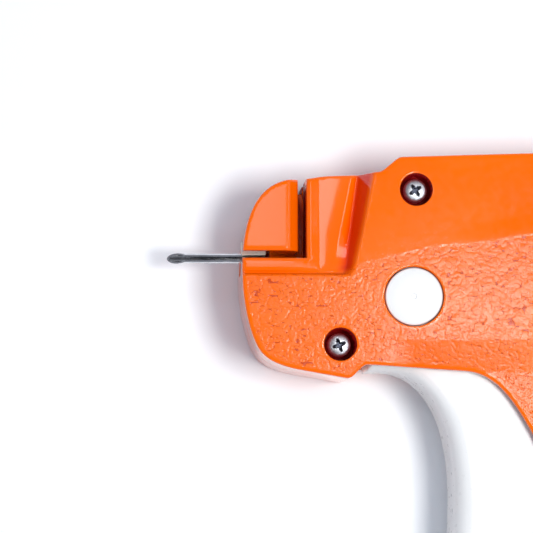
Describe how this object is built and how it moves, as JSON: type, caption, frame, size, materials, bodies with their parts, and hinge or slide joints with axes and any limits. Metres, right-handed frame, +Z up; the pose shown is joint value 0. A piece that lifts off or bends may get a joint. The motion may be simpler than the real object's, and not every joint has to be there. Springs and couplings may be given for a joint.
{
  "type": "tag attaching gun",
  "caption": "Pistol-shaped hand tool that pushes plastic tag fasteners through cloth: two shells, a finger trigger, a slotted nose with a hollow needle, and the drive and feed inside.",
  "frame": {"origin": "on the trigger pivot's axis, in the flat outer face of the right shell, which the gun lies on", "axes": "+Z up, out of the left side of the gun as it lies down; +X from the nose to the rear; +Y to the top of the gun, the grip points to -Y"},
  "size_m": [0.1349, 0.1123, 0.026],
  "materials": {
    "orange_plastic": "orange ABS, polished above the panel line and leather-grained below it",
    "white_plastic": "white acetal, lightly polished",
    "natural_plastic": "natural nylon, matt",
    "grey_plastic": "grey glass-filled nylon, matt",
    "black_rubber": "matt",
    "zinc_screw": "bright zinc plating",
    "needle_steel": "polished stainless steel",
    "steel": "drawn steel"
  },
  "bodies": {
    "housing": {"right_shell": "orange_plastic", "left_shell": "orange_plastic", "rear_bumper": "black_rubber", "screw_top_front": "zinc_screw", "screw_head": "zinc_screw", "screw_top_rear": "zinc_screw", "screw_grip_back": "zinc_screw", "screw_grip_base": "zinc_screw", "trigger_pin": "white_plastic", "lever_pin": "steel", "return_spring": "steel", "needle": "needle_steel", "needle_base": "natural_plastic", "cutter_blade": "steel", "feed_wheel_pin": "steel", "feed_lever_pin": "steel", "check_pawl": "steel"},
    "trigger": {"trigger": "white_plastic"},
    "drive_lever": {"drive_lever": "grey_plastic"},
    "slider": {"slider": "grey_plastic", "ejector_rod": "steel"},
    "feed_wheel": {"feed_wheel": "natural_plastic"},
    "feed_lever": {"feed_lever": "grey_plastic"},
    "needle_lock": {"needle_lock": "natural_plastic"}
  },
  "joints": [
    {"name": "trigger_swing", "type": "hinge", "parent": "housing", "child": "trigger", "pos_m": [0, 0, 0.013], "axis": [0, 0, 1], "range_deg": [0, 18], "stiffness_Nm_per_rad": 1.9, "springref_deg": -9.17},
    {"name": "drive_lever_swing", "type": "hinge", "parent": "housing", "child": "drive_lever", "pos_m": [0.051, -0.035, 0.013], "axis": [0, 0, 1], "range_deg": [0, 41.7]},
    {"name": "slider_travel", "type": "slide", "parent": "housing", "child": "slider", "axis": [-1, 0, 0], "range_m": [0, 0.0321], "deforming": ["return_spring"]},
    {"name": "feed_lever_swing", "type": "hinge", "parent": "housing", "child": "feed_lever", "pos_m": [0.0045, 0.0156, 0.0108], "axis": [0, 0, 1], "range_deg": [0, 8.05]},
    {"name": "feed_wheel_spin", "type": "hinge", "parent": "housing", "child": "feed_wheel", "pos_m": [-0.0125, 0.0155, 0.0108], "axis": [0, 0, 1], "continuous": true},
    {"name": "needle_lock_turn", "type": "hinge", "parent": "housing", "child": "needle_lock", "pos_m": [-0.0284, 0.0006, 0.0065], "axis": [0, 0, 1], "range_deg": [0, 90]}
  ],
  "couplings": [
    {"joint": "drive_lever_swing", "follows": "trigger_swing", "ratio": 2.3142},
    {"joint": "slider_travel", "follows": "trigger_swing", "m_per_rad": 0.10186},
    {"joint": "feed_lever_swing", "follows": "trigger_swing", "ratio": 0.44444}
  ]
}
